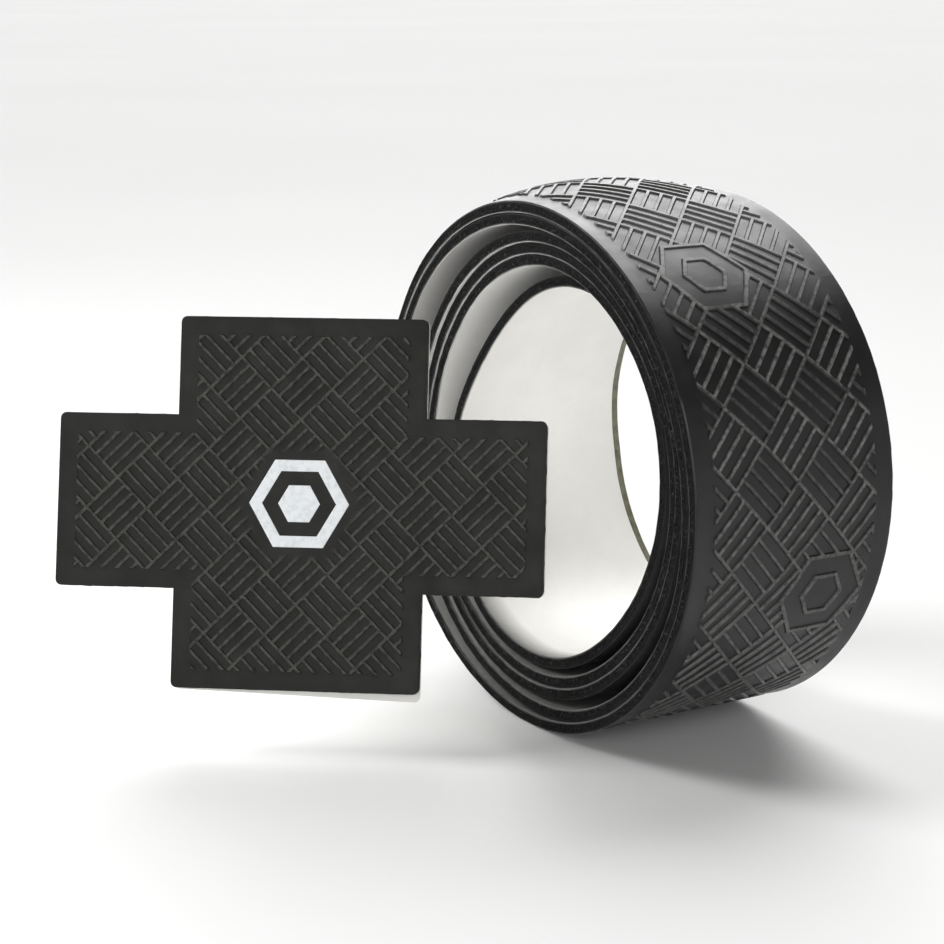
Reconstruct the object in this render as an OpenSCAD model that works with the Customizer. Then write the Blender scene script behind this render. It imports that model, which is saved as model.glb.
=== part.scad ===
// Wound roll of cushioned grip tape, with its cross-shaped end patch.
// Frame: millimetres, +Z up, +Y along the roll's axis, origin at the winding
// centre halfway along the tape's width. The patch stands off the roll's -Y rim.
// The tape is four bonded layers: skin, foam, adhesive and release liner.
// Unwound angle is 0 at the free outer end and grows inward. The polar angle in
// the XZ plane, from +X towards +Z, is 180 minus it.

/* [Tape] */
// Width of the tape, along the roll's axis
tape_width = 30; // [20:1:40]
// Thickness of the embossed outer skin
skin_thick = 0.5; // [0.3:0.05:0.7]
// Thickness of the foam cushion
foam_thick = 0.72; // [0.4:0.01:0.8]
// Thickness of the pressure-sensitive adhesive
adhesive_thick = 0.12; // [0.08:0.01:0.2]
// Thickness of the release liner
liner_thick = 0.11; // [0.08:0.01:0.15]

/* [Coil] */
// Mean outer radius of the wound coil
coil_radius = 35.8; // [34:0.1:42]
// How much wider than round the coil has settled, as a radius
oval = 0.9; // [0:0.1:2]
// Lean of the oval, in degrees
oval_lean = 0; // [-10:1:10]
// Air left between two tight turns
turn_air = 0.07; // [0.05:0.01:0.15]
// Unwound angle of the whole tape, in degrees
wound_angle = 1908; // [1848:6:1908]
// Widest part of the loose crescent behind the two outer turns
slack_outer = 4.3; // [2:0.1:5]
// Loose crescent's lower end, under the outer turn
slack_low = 1.2; // [0:0.1:2]
// Second loose crescent, between turns two and three
slack_mid = 1.8; // [0:0.1:2]
// Third loose crescent, inside turn four
slack_inner = 1.45; // [0:0.05:1.5]
// How far the tape's inner end springs off the wall
slack_end = 3.2; // [0:0.1:3.4]

/* [Patch] */
// Overall width of the cross
patch_width = 62; // [58:0.5:64]
// Overall height of the cross
patch_height = 47; // [44:0.5:52]
// Width of the butt rectangle, and of the top and bottom flaps
butt_width = 31.5; // [28:0.5:34]
// Height of the butt rectangle, and of the side flaps
butt_height = 22; // [20:0.5:25]
// Radius of the flaps' outer corners
corner_radius = 0.8; // [0.5:0.1:2]
// Across-flats size of the printed mark
mark_width = 11; // [8:0.5:14]
// Thickness of the print
mark_thick = 0.05; // [0.04:0.01:0.1]
// Patch's face centre, across the roll
patch_x = -9.4; // [-12:0.1:-8]
// Patch's face centre, along the roll's axis
patch_y = -42.8; // [-60:0.1:-42.5]
// Patch's face centre, above the roll's axis
patch_z = -2.6; // [-6:0.1:4]
// Turn of the patch's face about the vertical, in degrees
patch_turn = 52.9; // [50:0.1:56]
// Backward lean of the patch, in degrees
patch_lean = 15.6; // [10:0.1:18]

/* [Hidden] */
// Each layer's [outer, inner] depth below the skin's face
skin_depths = [0, skin_thick];
foam_depths = [skin_depths[1], skin_depths[1] + foam_thick];
adhesive_depths = [foam_depths[1], foam_depths[1] + adhesive_thick];
liner_depths = [adhesive_depths[1], adhesive_depths[1] + liner_thick];
turn_pitch = liner_depths[1] + turn_air;

// The free tail is cut into segments where the soft tape bends
facet_angle = 6;
segment_angle = 24;
tail_segments = 5;
tail_angle = segment_angle * tail_segments;

// Dips where turns hang loose. Each acts on the tape from its start inward:
// [start, unwound angle; centre, polar angle; reach to either side; depth]
dips = [
  [ 530, 160, 90, slack_outer],
  [ 530, 235, 65, slack_low],
  [ 760, 320, 75, slack_mid],
  [1460, 325, 95, slack_inner],
  [1700, 135, 88, slack_end]
];

corner_steps = 4;               // facets of a rounded corner
mark_hole = mark_width * 0.74;  // opening of the mark's ring, across flats
mark_core = mark_width * 0.42;  // solid hexagon inside it, across flats

skin_colour = [0.07, 0.07, 0.07];
even_skin_colour = [0.08, 0.08, 0.08];  // tail segments 2 and 4
patch_skin_colour = [0.18, 0.18, 0.16];
foam_colour = [0.16, 0.17, 0.17];
adhesive_colour = [0.55, 0.52, 0.45];
liner_colour = [0.85, 0.84, 0.80];
patch_liner_colour = [0.93, 0.92, 0.88];
mark_colour = [0.92, 0.94, 0.95];

// ---- spiral ----

// angle brought into 0..360
function wrap(angle) = angle - 360 * floor(angle / 360);

// raised cosine of the given height about a polar angle, zero beyond its reach
function bump(polar, centre, reach, height) =
  let (away = abs(wrap(polar - centre + 180) - 180))
  away < reach ? height * (1 + cos(180 * away / reach)) / 2 : 0;

// summed depth of the dips from row i on, at an unwound angle
function dip_depth(unwound, i = 0) =
  i == len(dips) ? 0 :
  let (dip = dips[i])
  (unwound >= dip[0] ? bump(180 - unwound, dip[1], dip[2], dip[3]) : 0)
  + dip_depth(unwound, i + 1);

// radius of the skin's outer face
function skin_radius(unwound) =
  coil_radius + oval * cos(2 * (180 - unwound - oval_lean))
  - turn_pitch * unwound / 360 - dip_depth(unwound);

function spiral_point(unwound, depth) =
  let (polar = 180 - unwound, radius = skin_radius(unwound) - depth)
  [radius * cos(polar), radius * sin(polar)];

// one layer of the tape between two unwound angles
module wound_layer(start, end, depths) {
  facets = round((end - start) / facet_angle);
  rotate([90, 0, 0])
    translate([0, 0, -tape_width / 2])
      linear_extrude(tape_width)
        polygon(concat(
          [for (i = [0:facets]) spiral_point(start + i * facet_angle, depths[0])],
          [for (i = [facets:-1:0]) spiral_point(start + i * facet_angle, depths[1])]));
}

module coil_layer(depths) { wound_layer(tail_angle, wound_angle, depths); }

// tail segment 1 is next to the coil, the last one is the free end
module tail_layer(number, depths) {
  start = tail_angle - number * segment_angle;
  wound_layer(start, start + segment_angle, depths);
}

// ---- patch ----

// quarter circle about a centre, anticlockwise from the start angle
function corner_points(centre, radius, start) =
  [for (i = [0:corner_steps])
    let (angle = start + i * 90 / corner_steps)
    centre + radius * [cos(angle), sin(angle)]];

// flap outline from x = 0 towards +x, with its outer corners rounded
function flap_points(length, half_width, radius) = concat(
  [[0, -half_width]],
  corner_points([length - radius, -half_width + radius], radius, -90),
  corner_points([length - radius, half_width - radius], radius, 0),
  [[0, half_width]]);

function hexagon_points(across_flats) =
  [for (i = [0:5]) across_flats / sqrt(3) * [cos(60 * i), sin(60 * i)]];

// stands the patch in place, from a frame with its face at y = 0 and back at +y
module place_patch() {
  translate([patch_x, patch_y, patch_z])
    rotate([0, 0, patch_turn])
      rotate([-patch_lean, 0, 0])
        children();
}

// a flat shape made solid between two depths behind the patch's face
module patch_slab(depths) {
  place_patch()
    translate([0, depths[1], 0])
      rotate([90, 0, 0])
        linear_extrude(depths[1] - depths[0])
          children();
}

module butt_shape() { square([butt_width, butt_height], center = true); }

// a flap in its place on the cross, sides named as seen from the face
module flap_shape(side) {
  upright = side == "top" || side == "bottom";
  width = upright ? butt_width : butt_height;
  fold_offset = (upright ? butt_height : butt_width) / 2;
  length = (upright ? patch_height : patch_width) / 2 - fold_offset;
  turn = side == "right" ? 0 : side == "top" ? 90 : side == "left" ? 180 : -90;
  rotate(turn)
    translate([fold_offset, 0])
      polygon(flap_points(length, width / 2, corner_radius));
}

module butt_layer(depths) { patch_slab(depths) butt_shape(); }
module flap_layer(side, depths) { patch_slab(depths) flap_shape(side); }

// ---- nodes ----

module coil_skin() { color(skin_colour) coil_layer(skin_depths); }
module coil_foam() { color(foam_colour) coil_layer(foam_depths); }
module coil_adhesive() { color(adhesive_colour) coil_layer(adhesive_depths); }
module coil_liner() { color(liner_colour) coil_layer(liner_depths); }

module tail_1_skin() { color(skin_colour) tail_layer(1, skin_depths); }
module tail_1_foam() { color(foam_colour) tail_layer(1, foam_depths); }
module tail_1_adhesive() { color(adhesive_colour) tail_layer(1, adhesive_depths); }
module tail_1_liner() { color(liner_colour) tail_layer(1, liner_depths); }
module tail_2_skin() { color(even_skin_colour) tail_layer(2, skin_depths); }
module tail_2_foam() { color(foam_colour) tail_layer(2, foam_depths); }
module tail_2_adhesive() { color(adhesive_colour) tail_layer(2, adhesive_depths); }
module tail_2_liner() { color(liner_colour) tail_layer(2, liner_depths); }
module tail_3_skin() { color(skin_colour) tail_layer(3, skin_depths); }
module tail_3_foam() { color(foam_colour) tail_layer(3, foam_depths); }
module tail_3_adhesive() { color(adhesive_colour) tail_layer(3, adhesive_depths); }
module tail_3_liner() { color(liner_colour) tail_layer(3, liner_depths); }
module tail_4_skin() { color(even_skin_colour) tail_layer(4, skin_depths); }
module tail_4_foam() { color(foam_colour) tail_layer(4, foam_depths); }
module tail_4_adhesive() { color(adhesive_colour) tail_layer(4, adhesive_depths); }
module tail_4_liner() { color(liner_colour) tail_layer(4, liner_depths); }
module tail_5_skin() { color(skin_colour) tail_layer(5, skin_depths); }
module tail_5_foam() { color(foam_colour) tail_layer(5, foam_depths); }
module tail_5_adhesive() { color(adhesive_colour) tail_layer(5, adhesive_depths); }
module tail_5_liner() { color(liner_colour) tail_layer(5, liner_depths); }

// the release paper behind the whole cross, in one sheet
module patch_liner() {
  color(patch_liner_colour)
    patch_slab(liner_depths)
      union() {
        butt_shape();
        flap_shape("left");
        flap_shape("right");
        flap_shape("top");
        flap_shape("bottom");
      }
}
module patch_skin() { color(patch_skin_colour) butt_layer(skin_depths); }
module patch_foam() { color(foam_colour) butt_layer(foam_depths); }
module patch_adhesive() { color(adhesive_colour) butt_layer(adhesive_depths); }
// hexagon ring with a small solid hexagon inside it, printed on the face
module patch_mark() {
  color(mark_colour)
    patch_slab([-mark_thick, 0]) {
      difference() {
        polygon(hexagon_points(mark_width));
        polygon(hexagon_points(mark_hole));
      }
      polygon(hexagon_points(mark_core));
    }
}
module top_flap_skin() { color(patch_skin_colour) flap_layer("top", skin_depths); }
module top_flap_foam() { color(foam_colour) flap_layer("top", foam_depths); }
module top_flap_adhesive() { color(adhesive_colour) flap_layer("top", adhesive_depths); }
module bottom_flap_skin() { color(patch_skin_colour) flap_layer("bottom", skin_depths); }
module bottom_flap_foam() { color(foam_colour) flap_layer("bottom", foam_depths); }
module bottom_flap_adhesive() { color(adhesive_colour) flap_layer("bottom", adhesive_depths); }
module left_flap_skin() { color(patch_skin_colour) flap_layer("left", skin_depths); }
module left_flap_foam() { color(foam_colour) flap_layer("left", foam_depths); }
module left_flap_adhesive() { color(adhesive_colour) flap_layer("left", adhesive_depths); }
module right_flap_skin() { color(patch_skin_colour) flap_layer("right", skin_depths); }
module right_flap_foam() { color(foam_colour) flap_layer("right", foam_depths); }
module right_flap_adhesive() { color(adhesive_colour) flap_layer("right", adhesive_depths); }

coil_skin();
coil_foam();
coil_adhesive();
coil_liner();
tail_1_skin();
tail_1_foam();
tail_1_adhesive();
tail_1_liner();
tail_2_skin();
tail_2_foam();
tail_2_adhesive();
tail_2_liner();
tail_3_skin();
tail_3_foam();
tail_3_adhesive();
tail_3_liner();
tail_4_skin();
tail_4_foam();
tail_4_adhesive();
tail_4_liner();
tail_5_skin();
tail_5_foam();
tail_5_adhesive();
tail_5_liner();
patch_liner();
patch_skin();
patch_foam();
patch_adhesive();
patch_mark();
top_flap_skin();
top_flap_foam();
top_flap_adhesive();
bottom_flap_skin();
bottom_flap_foam();
bottom_flap_adhesive();
left_flap_skin();
left_flap_foam();
left_flap_adhesive();
right_flap_skin();
right_flap_foam();
right_flap_adhesive();
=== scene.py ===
"""A roll of embossed foam-backed tape and a cross-shaped patch of the same make.

The tape is wound about the Y axis, so its turns lie in XZ. Its near edge is at -Y. The
free outer end is at -X; from there the tape runs up over the top (+Z), down the +X side
and spirals inward. The skin faces outward and the release liner inward. The patch
stands before the near edge, turned about Z and leaning. Shapes are in mm until meshed.
"""
import math

import bmesh
import bpy
import numpy as np
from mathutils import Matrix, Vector
from mathutils.geometry import delaunay_2d_cdt


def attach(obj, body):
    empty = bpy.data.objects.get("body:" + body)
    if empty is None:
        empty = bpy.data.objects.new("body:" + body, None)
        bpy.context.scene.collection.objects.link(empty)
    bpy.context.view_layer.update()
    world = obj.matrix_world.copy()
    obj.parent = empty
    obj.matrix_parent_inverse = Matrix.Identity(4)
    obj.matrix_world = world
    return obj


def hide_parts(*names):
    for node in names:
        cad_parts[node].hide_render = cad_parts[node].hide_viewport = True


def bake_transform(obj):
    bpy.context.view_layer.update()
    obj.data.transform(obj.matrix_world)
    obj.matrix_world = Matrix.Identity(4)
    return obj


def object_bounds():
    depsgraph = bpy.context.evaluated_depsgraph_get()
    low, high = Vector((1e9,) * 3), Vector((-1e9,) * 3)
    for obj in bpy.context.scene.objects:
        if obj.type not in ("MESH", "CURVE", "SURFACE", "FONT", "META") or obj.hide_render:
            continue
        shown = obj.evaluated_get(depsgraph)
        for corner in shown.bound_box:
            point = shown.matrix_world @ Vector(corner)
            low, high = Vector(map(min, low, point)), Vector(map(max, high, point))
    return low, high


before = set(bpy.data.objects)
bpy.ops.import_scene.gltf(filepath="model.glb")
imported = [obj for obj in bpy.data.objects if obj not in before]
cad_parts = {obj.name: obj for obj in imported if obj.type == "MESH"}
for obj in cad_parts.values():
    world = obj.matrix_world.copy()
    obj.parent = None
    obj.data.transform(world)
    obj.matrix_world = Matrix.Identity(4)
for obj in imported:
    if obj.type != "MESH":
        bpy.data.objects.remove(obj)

CAD_LO, CAD_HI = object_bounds()
MM = 0.001

# ---------------------------------------------------------------- tape sizes (mm, degrees)
TAPE_WIDTH = 30.0
HALF = TAPE_WIDTH / 2
SKIN, FOAM, ADHESIVE, LINER = 0.50, 0.72, 0.12, 0.11
FOAM_TOP = SKIN                             # depths under the skin's face
ADHESIVE_TOP = SKIN + FOAM
LINER_TOP = SKIN + FOAM + ADHESIVE
THICKNESS = SKIN + FOAM + ADHESIVE + LINER
LAYER_TOP = {"skin": 0.0, "foam": FOAM_TOP, "adhesive": ADHESIVE_TOP, "liner": LINER_TOP}

COIL_RADIUS = 35.8
COIL_OVAL = 0.9                             # wider along X by this, narrower along Z
COIL_PITCH = 1.52                           # radius lost in a turn
WOUND = 1908.0                              # the whole winding
EMBOSS_END = 504.0                          # past it only the rim shows, so the skin is plain
STEP = 0.75                                 # between the plain layers' cross-sections

# where the inner turns sag inward: from which turn, polar centre, half width, depth
LOOSE_END_TURN = 1700
LOOSE_END_BUMP = (135, 88, 3.2)
SAGS = [
    (530, 160, 90, 4.3),
    (530, 235, 65, 1.2),
    (760, 320, 75, 1.8),
    (1460, 325, 95, 1.45),
    (LOOSE_END_TURN, *LOOSE_END_BUMP),
]

# (turn, how far toward +Y the near edge has slid)
NEAR_SHIFT = np.array([
    (0, 0), (300, 0.02), (480, 0.10), (660, 0.30), (760, 0.60), (900, 0.85), (1080, 1.00),
    (1260, 1.15), (1440, 1.30), (1640, 1.45), (1740, 1.90), (1800, 3.10), (1860, 3.90),
    (1908, 4.20),
]).T
# (turn, the same for the far edge); the last stretch tapers
FAR_SHIFT = np.array([
    (0, 0), (900, 0.25), (1560, 0.6), (1700, 1.6), (1760, 1.95), (1788, 1.85), (1800, 1.35),
    (1812, 0.75), (1830, 0.1), (1850, -0.2), (1908, -0.6),
]).T

# crown of the outermost turn
CROWN_HEIGHT = 2.49
CROWN_CENTRE = 109.7                        # polar angle
CROWN_REACH = 45.0                          # toward +X; toward -X it reaches the free end
CROWN_POWER = 2.17                          # fullness across the tape
CROWN_END = 300                             # turn where the crown is over

# The tape is cut at these turns into its free end, five bends and the coil.
CUTS = [0.0] + [12.0 + 24.0 * k for k in range(6)]
PIECES = ["end", "bend_5", "bend_4", "bend_3", "bend_2", "bend_1", "coil"]


# ---------------------------------------------------------------- curves and noise
def clamp01(x):
    return np.clip(x, 0, 1)


def ease(x):
    return x * x * (3 - 2 * x)


def bump(angle, centre, half_width, height):
    """A cosine hump on the circle of angles."""
    off = np.abs((angle - centre + 180.0) % 360.0 - 180.0)
    hump = height * (1 + np.cos(np.radians(180.0 * off / half_width))) / 2
    return np.where(off < half_width, hump, 0.0)


NOISE_TABLE = np.random.default_rng(7).uniform(-1, 1, (64, 4096))


def smooth_noise(x, row):
    x = np.asarray(x, float)
    cell = np.floor(x).astype(int)
    blend = ease(x - cell)
    values = NOISE_TABLE[row]
    return values[cell % 4096] * (1 - blend) + values[(cell + 1) % 4096] * blend


def ragged(along, *waves):
    """Sum of noise waves, each (height, wavelength, noise row)."""
    return sum(height * smooth_noise(along / length, row) for height, length, row in waves)


# ---------------------------------------------------------------- the winding
# turn: unwound angle from the free end, degrees; along: length from there, mm;
# across: -HALF at the near edge, HALF at the far one; depth: under the skin's face
def polar(turn):
    """Angle from +X toward +Z."""
    return 180.0 - turn


def coil_radius(turn):
    turn = np.asarray(turn, float)
    angle = polar(turn)
    oval = COIL_OVAL * np.cos(np.radians(2 * angle))
    radius = COIL_RADIUS + oval - COIL_PITCH * turn / 360.0
    for first, *sag in SAGS:
        radius = radius - np.where(turn >= first, bump(angle, *sag), 0.0)
    return radius


TURNS = np.arange(0, WOUND + 0.001, 0.25)
_radius = coil_radius(TURNS)
_angle = np.radians(polar(TURNS))
_path = np.c_[_radius * np.cos(_angle), _radius * np.sin(_angle)]
LENGTHS = np.r_[0, np.cumsum(np.hypot(*np.diff(_path, axis=0).T))]


def along_at(turn):
    return np.interp(turn, TURNS, LENGTHS)


def turn_at(along):
    return np.interp(along, LENGTHS, TURNS)


def near_y(turn):
    shift = np.interp(turn, *NEAR_SHIFT)
    return -HALF + shift + ragged(along_at(turn), (0.05, 17.0, 1), (0.02, 5.0, 2))


def far_y(turn):
    return HALF + np.interp(turn, *FAR_SHIFT) + ragged(along_at(turn), (0.05, 19.0, 3))


def lift(turn, share):
    """How far the tape stands off its winding; share is 0 at the near edge, 1 at the far.

    The outermost turn is crowned. The loose inner end sags at its near edge only, so
    this cancels the sag toward the far edge.
    """
    turn, share = np.broadcast_arrays(np.asarray(turn, float), np.asarray(share, float))
    off = polar(turn) - CROWN_CENTRE
    reach = np.where(off > 0, 180.0 - CROWN_CENTRE, CROWN_REACH)
    on_crown = (np.abs(off) < reach) & (turn < CROWN_END)
    crown = np.where(on_crown, (1 + np.cos(np.pi * off / reach)) / 2, 0.0)
    crown = CROWN_HEIGHT * crown * clamp01(1 - np.abs(2 * share - 1) ** CROWN_POWER)
    loose = np.where(turn >= LOOSE_END_TURN, bump(polar(turn), *LOOSE_END_BUMP), 0.0)
    return crown + clamp01(share) * loose


def wound_point(turn, y, share, depth):
    radius = coil_radius(turn) + lift(turn, share) - depth
    angle = np.radians(polar(turn))
    return np.stack([radius * np.cos(angle), y, radius * np.sin(angle)], -1)


def tape_point(turn, across, depth):
    turn, across, depth = np.broadcast_arrays(
        np.asarray(turn, float), np.asarray(across, float), np.asarray(depth, float))
    share = (across + HALF) / TAPE_WIDTH
    y = near_y(turn) * (1 - share) + far_y(turn) * share
    return wound_point(turn, y, share, depth)


# ---------------------------------------------------------------- mesh helpers
def make(name, verts_mm, faces, material, sharp):
    """Mesh object with outward normals, smooth but for edges over `sharp` degrees."""
    mesh = bpy.data.meshes.new(name)
    mesh.from_pydata((np.asarray(verts_mm, float) * MM).tolist(), [],
                     [list(map(int, face)) for face in faces])
    mesh.update()
    bm = bmesh.new()
    bm.from_mesh(mesh)
    bmesh.ops.recalc_face_normals(bm, faces=bm.faces)
    bm.to_mesh(mesh)
    bm.free()
    mesh.polygons.foreach_set("use_smooth", [True] * len(mesh.polygons))
    mesh.set_sharp_from_angle(angle=math.radians(sharp))
    mesh.materials.append(material)
    ob = bpy.data.objects.new(name, mesh)
    bpy.context.collection.objects.link(ob)
    return ob


def add_attribute(ob, name, values):
    """A number per vertex that the materials read."""
    attribute = ob.data.attributes.new(name, "FLOAT", "POINT")
    attribute.data.foreach_set("value", np.asarray(values, float))


def band_faces(count, size, base=0):
    """Faces of a capped band: `count` cross-sections of `size` points from vertex `base`."""
    faces = []
    for i in range(count - 1):
        a = base + i * size
        b = a + size
        for j in range(size):
            k = (j + 1) % size
            faces.append((a + j, a + k, b + k, b + j))
    last = base + (count - 1) * size
    return faces + [tuple(range(base, base + size)), tuple(range(last, last + size))]


# ---------------------------------------------------------------- flat outlines
# x and z are a sheet's two flat coordinates, (along, across) on the tape
def line(a, b, step):
    count = max(1, round(math.hypot(b[0] - a[0], b[1] - a[1]) / step))
    points = [(a[0] + (b[0] - a[0]) * i / count, a[1] + (b[1] - a[1]) * i / count)
              for i in range(count + 1)]
    return list(zip(points[:-1], points[1:]))


def loop(corners, step):
    segments = []
    for a, b in zip(corners, corners[1:] + corners[:1]):
        segments += line(a, b, step)
    return segments


def hex_apothem(x, z, turned=0.0):
    """Distance measure whose level sets are regular hexagons."""
    sides = [np.radians(60 * k + turned) for k in range(3)]
    return np.maximum.reduce([np.abs(x * math.cos(a) + z * math.sin(a)) for a in sides])


def hex_corners(apothem, x=0, z=0, turned=0.0):
    radius = apothem / math.cos(math.pi / 6)
    angles = [math.radians(60 * k + 30 + turned) for k in range(6)]
    return [(x + radius * math.cos(a), z + radius * math.sin(a)) for a in angles]


def triangulate(segments, points):
    index, verts, edges = {}, [], []

    def vertex(point):
        key = (round(point[0], 4), round(point[1], 4))
        if key not in index:
            index[key] = len(verts)
            verts.append(Vector(key))
        return index[key]

    seen = set()
    for a, b in segments:
        i, j = vertex(a), vertex(b)
        edge = (min(i, j), max(i, j))
        if i != j and edge not in seen:
            seen.add(edge)
            edges.append((i, j))
    for point in points:
        vertex(point)
    flat, _, faces, *_ = delaunay_2d_cdt(verts, edges, [], 0, 1e-5, False)
    return np.array([(p.x, p.y) for p in flat]), [tuple(face) for face in faces]


WEAVE_SLACK = 0.25                          # panel outlines are kept this far past the border


class Weave:
    """Square tiles set at 45 degrees, four recessed panels in each, every other tile
    turned a quarter. Tiles are counted along the two diagonals, `rise` and `fall`."""

    TILE_MARGIN = 6                         # tiles centred this far outside still count

    def __init__(self, x, z, pitch_x, pitch_z, ridge, slope, depth):
        self.x, self.z = x, z
        self.pitch_x, self.pitch_z = pitch_x, pitch_z
        self.side = pitch_x * pitch_z / math.hypot(pitch_x, pitch_z)
        self.half_ridge, self.slope, self.depth = ridge / 2, slope, depth

    def diagonals(self, x, z):
        dx, dz = (x - self.x) / self.pitch_x, (z - self.z) / self.pitch_z
        return dx + dz, dx - dz

    def point(self, rise, fall):
        return (self.x + self.pitch_x * (rise + fall) / 2,
                self.z + self.pitch_z * (rise - fall) / 2)

    def turned(self, x, z):
        """Whether the tile here is one of those turned a quarter."""
        rise, fall = self.diagonals(x, z)
        return ((np.round(rise) + np.round(fall)).astype(int) % 2) == 1

    def panel_margin(self, x, z):
        """mm inside the nearest panel's rim, negative on a ridge"""
        rise, fall = self.diagonals(x, z)
        turned = self.turned(x, z)
        rise, fall = rise - np.round(rise), fall - np.round(fall)
        lane = (np.where(turned, fall, rise) + 0.5) * 4
        lane = lane - np.floor(np.clip(lane, 0, 3.999999))
        across = np.minimum(lane, 1 - lane) * self.side / 4 - self.half_ridge
        along = (0.5 - np.abs(np.where(turned, rise, fall))) * self.side - self.half_ridge
        return np.minimum(across, along)

    def sunk(self, x, z, border, margin):
        """Share of full depth; `border` is mm inside the weave's border and `margin`
        the width outside it, over which the sheet rises gently to its edge."""
        share = clamp01(self.panel_margin(x, z) / self.slope)
        share = np.maximum(share, clamp01(1 - border / self.slope))
        return np.where(border < 0, ease(clamp01(1 + border / margin)), share)

    def panel_loop(self, row, column, lane, inset, step):
        """Points round one panel of a tile, `inset` mm inside its share of the tile."""
        inset /= self.side
        left, right = lane / 4 - 0.5 + inset, (lane + 1) / 4 - 0.5 - inset
        low, high = -0.5 + inset, 0.5 - inset
        corners = [(left, low), (right, low), (right, high), (left, high)]
        points = []
        for a, b in zip(corners, corners[1:] + corners[:1]):
            length = math.hypot(b[0] - a[0], b[1] - a[1]) * self.side
            count = max(1, round(length / step))
            for i in range(count):
                f = i / count
                across, along = a[0] + (b[0] - a[0]) * f, a[1] + (b[1] - a[1]) * f
                if (row + column) % 2 == 1:
                    across, along = along, across
                points.append(self.point(row + across, column + along))
        return points

    def outlines(self, x_range, z_range, keep, step=1.6):
        """Segments round the panels, at the rim and at the foot of the slope."""
        rises, falls = zip(*[self.diagonals(x, z) for x in x_range for z in z_range])
        rows = range(math.floor(min(rises)) - 1, math.ceil(max(rises)) + 2)
        columns = range(math.floor(min(falls)) - 1, math.ceil(max(falls)) + 2)
        segments = []
        for row, column in ((r, c) for r in rows for c in columns):
            if not all(low - self.TILE_MARGIN < centre < high + self.TILE_MARGIN
                       for centre, (low, high) in zip(self.point(row, column),
                                                      (x_range, z_range))):
                continue
            for lane in range(4):
                for inset in (self.half_ridge, self.half_ridge + self.slope):
                    points = self.panel_loop(row, column, lane, inset, step)
                    for a, b in zip(points, points[1:] + points[:1]):
                        if keep((a[0] + b[0]) / 2, (a[1] + b[1]) / 2):
                            segments.append((a, b))
        return segments


# ---------------------------------------------------------------- materials
class Shader:
    """A Principled material under construction, textured in object coordinates."""

    def __init__(self, name):
        self.material = bpy.data.materials.new(name)
        self.material.use_nodes = True
        self.tree = self.material.node_tree
        self.tree.nodes.clear()
        output = self.node("ShaderNodeOutputMaterial")
        self.bsdf = self.node("ShaderNodeBsdfPrincipled")
        self.feed(output.inputs[0], self.bsdf.outputs[0])
        self.coordinates = self.node("ShaderNodeTexCoord").outputs["Object"]
        self.normal = None

    def node(self, kind):
        return self.tree.nodes.new(kind)

    def feed(self, socket, value):
        """Link a socket to another's output, or set it to a number or an RGB tuple."""
        if isinstance(value, bpy.types.NodeSocket):
            self.tree.links.new(value, socket)
        else:
            socket.default_value = (*value, 1) if isinstance(value, tuple) else value

    def surface(self, colour, roughness, specular=None):
        self.feed(self.bsdf.inputs["Base Color"], colour)
        self.feed(self.bsdf.inputs["Roughness"], roughness)
        if specular is not None:
            self.feed(self.bsdf.inputs["Specular IOR Level"], specular)

    def attribute(self, name):
        node = self.node("ShaderNodeAttribute")
        node.attribute_name = name
        return node.outputs["Fac"]

    def noise(self, scale, detail=3.0, roughness=0.55):
        node = self.node("ShaderNodeTexNoise")
        node.inputs["Scale"].default_value = scale
        node.inputs["Detail"].default_value = detail
        node.inputs["Roughness"].default_value = roughness
        self.feed(node.inputs["Vector"], self.coordinates)
        return node.outputs["Fac"]

    def ramp(self, factor, stops):
        """stops: (position, RGB)"""
        node = self.node("ShaderNodeValToRGB")
        elements = node.color_ramp.elements
        while len(elements) < len(stops):
            elements.new(0.5)
        for element, (position, colour) in zip(elements, stops):
            element.position = position
            element.color = (*colour, 1)
        self.feed(node.inputs[0], factor)
        return node.outputs[0]

    def map_range(self, value, low, high, from_min=0.3, from_max=0.7):
        node = self.node("ShaderNodeMapRange")
        node.inputs["From Min"].default_value = from_min
        node.inputs["From Max"].default_value = from_max
        node.inputs["To Min"].default_value = low
        node.inputs["To Max"].default_value = high
        self.feed(node.inputs[0], value)
        return node.outputs[0]

    def mix_colours(self, factor, a, b):
        node = self.node("ShaderNodeMix")
        node.data_type = "RGBA"
        for name, value in (("Factor", factor), ("A", a), ("B", b)):
            self.feed(node.inputs[name], value)
        return node.outputs["Result"]

    def bump(self, height, distance, strength):
        """Add relief on top of any already there."""
        node = self.node("ShaderNodeBump")
        node.inputs["Strength"].default_value = strength
        node.inputs["Distance"].default_value = distance
        self.feed(node.inputs["Height"], height)
        if self.normal is not None:
            self.feed(node.inputs["Normal"], self.normal)
        self.normal = node.outputs[0]
        self.feed(self.bsdf.inputs["Normal"], self.normal)


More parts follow.
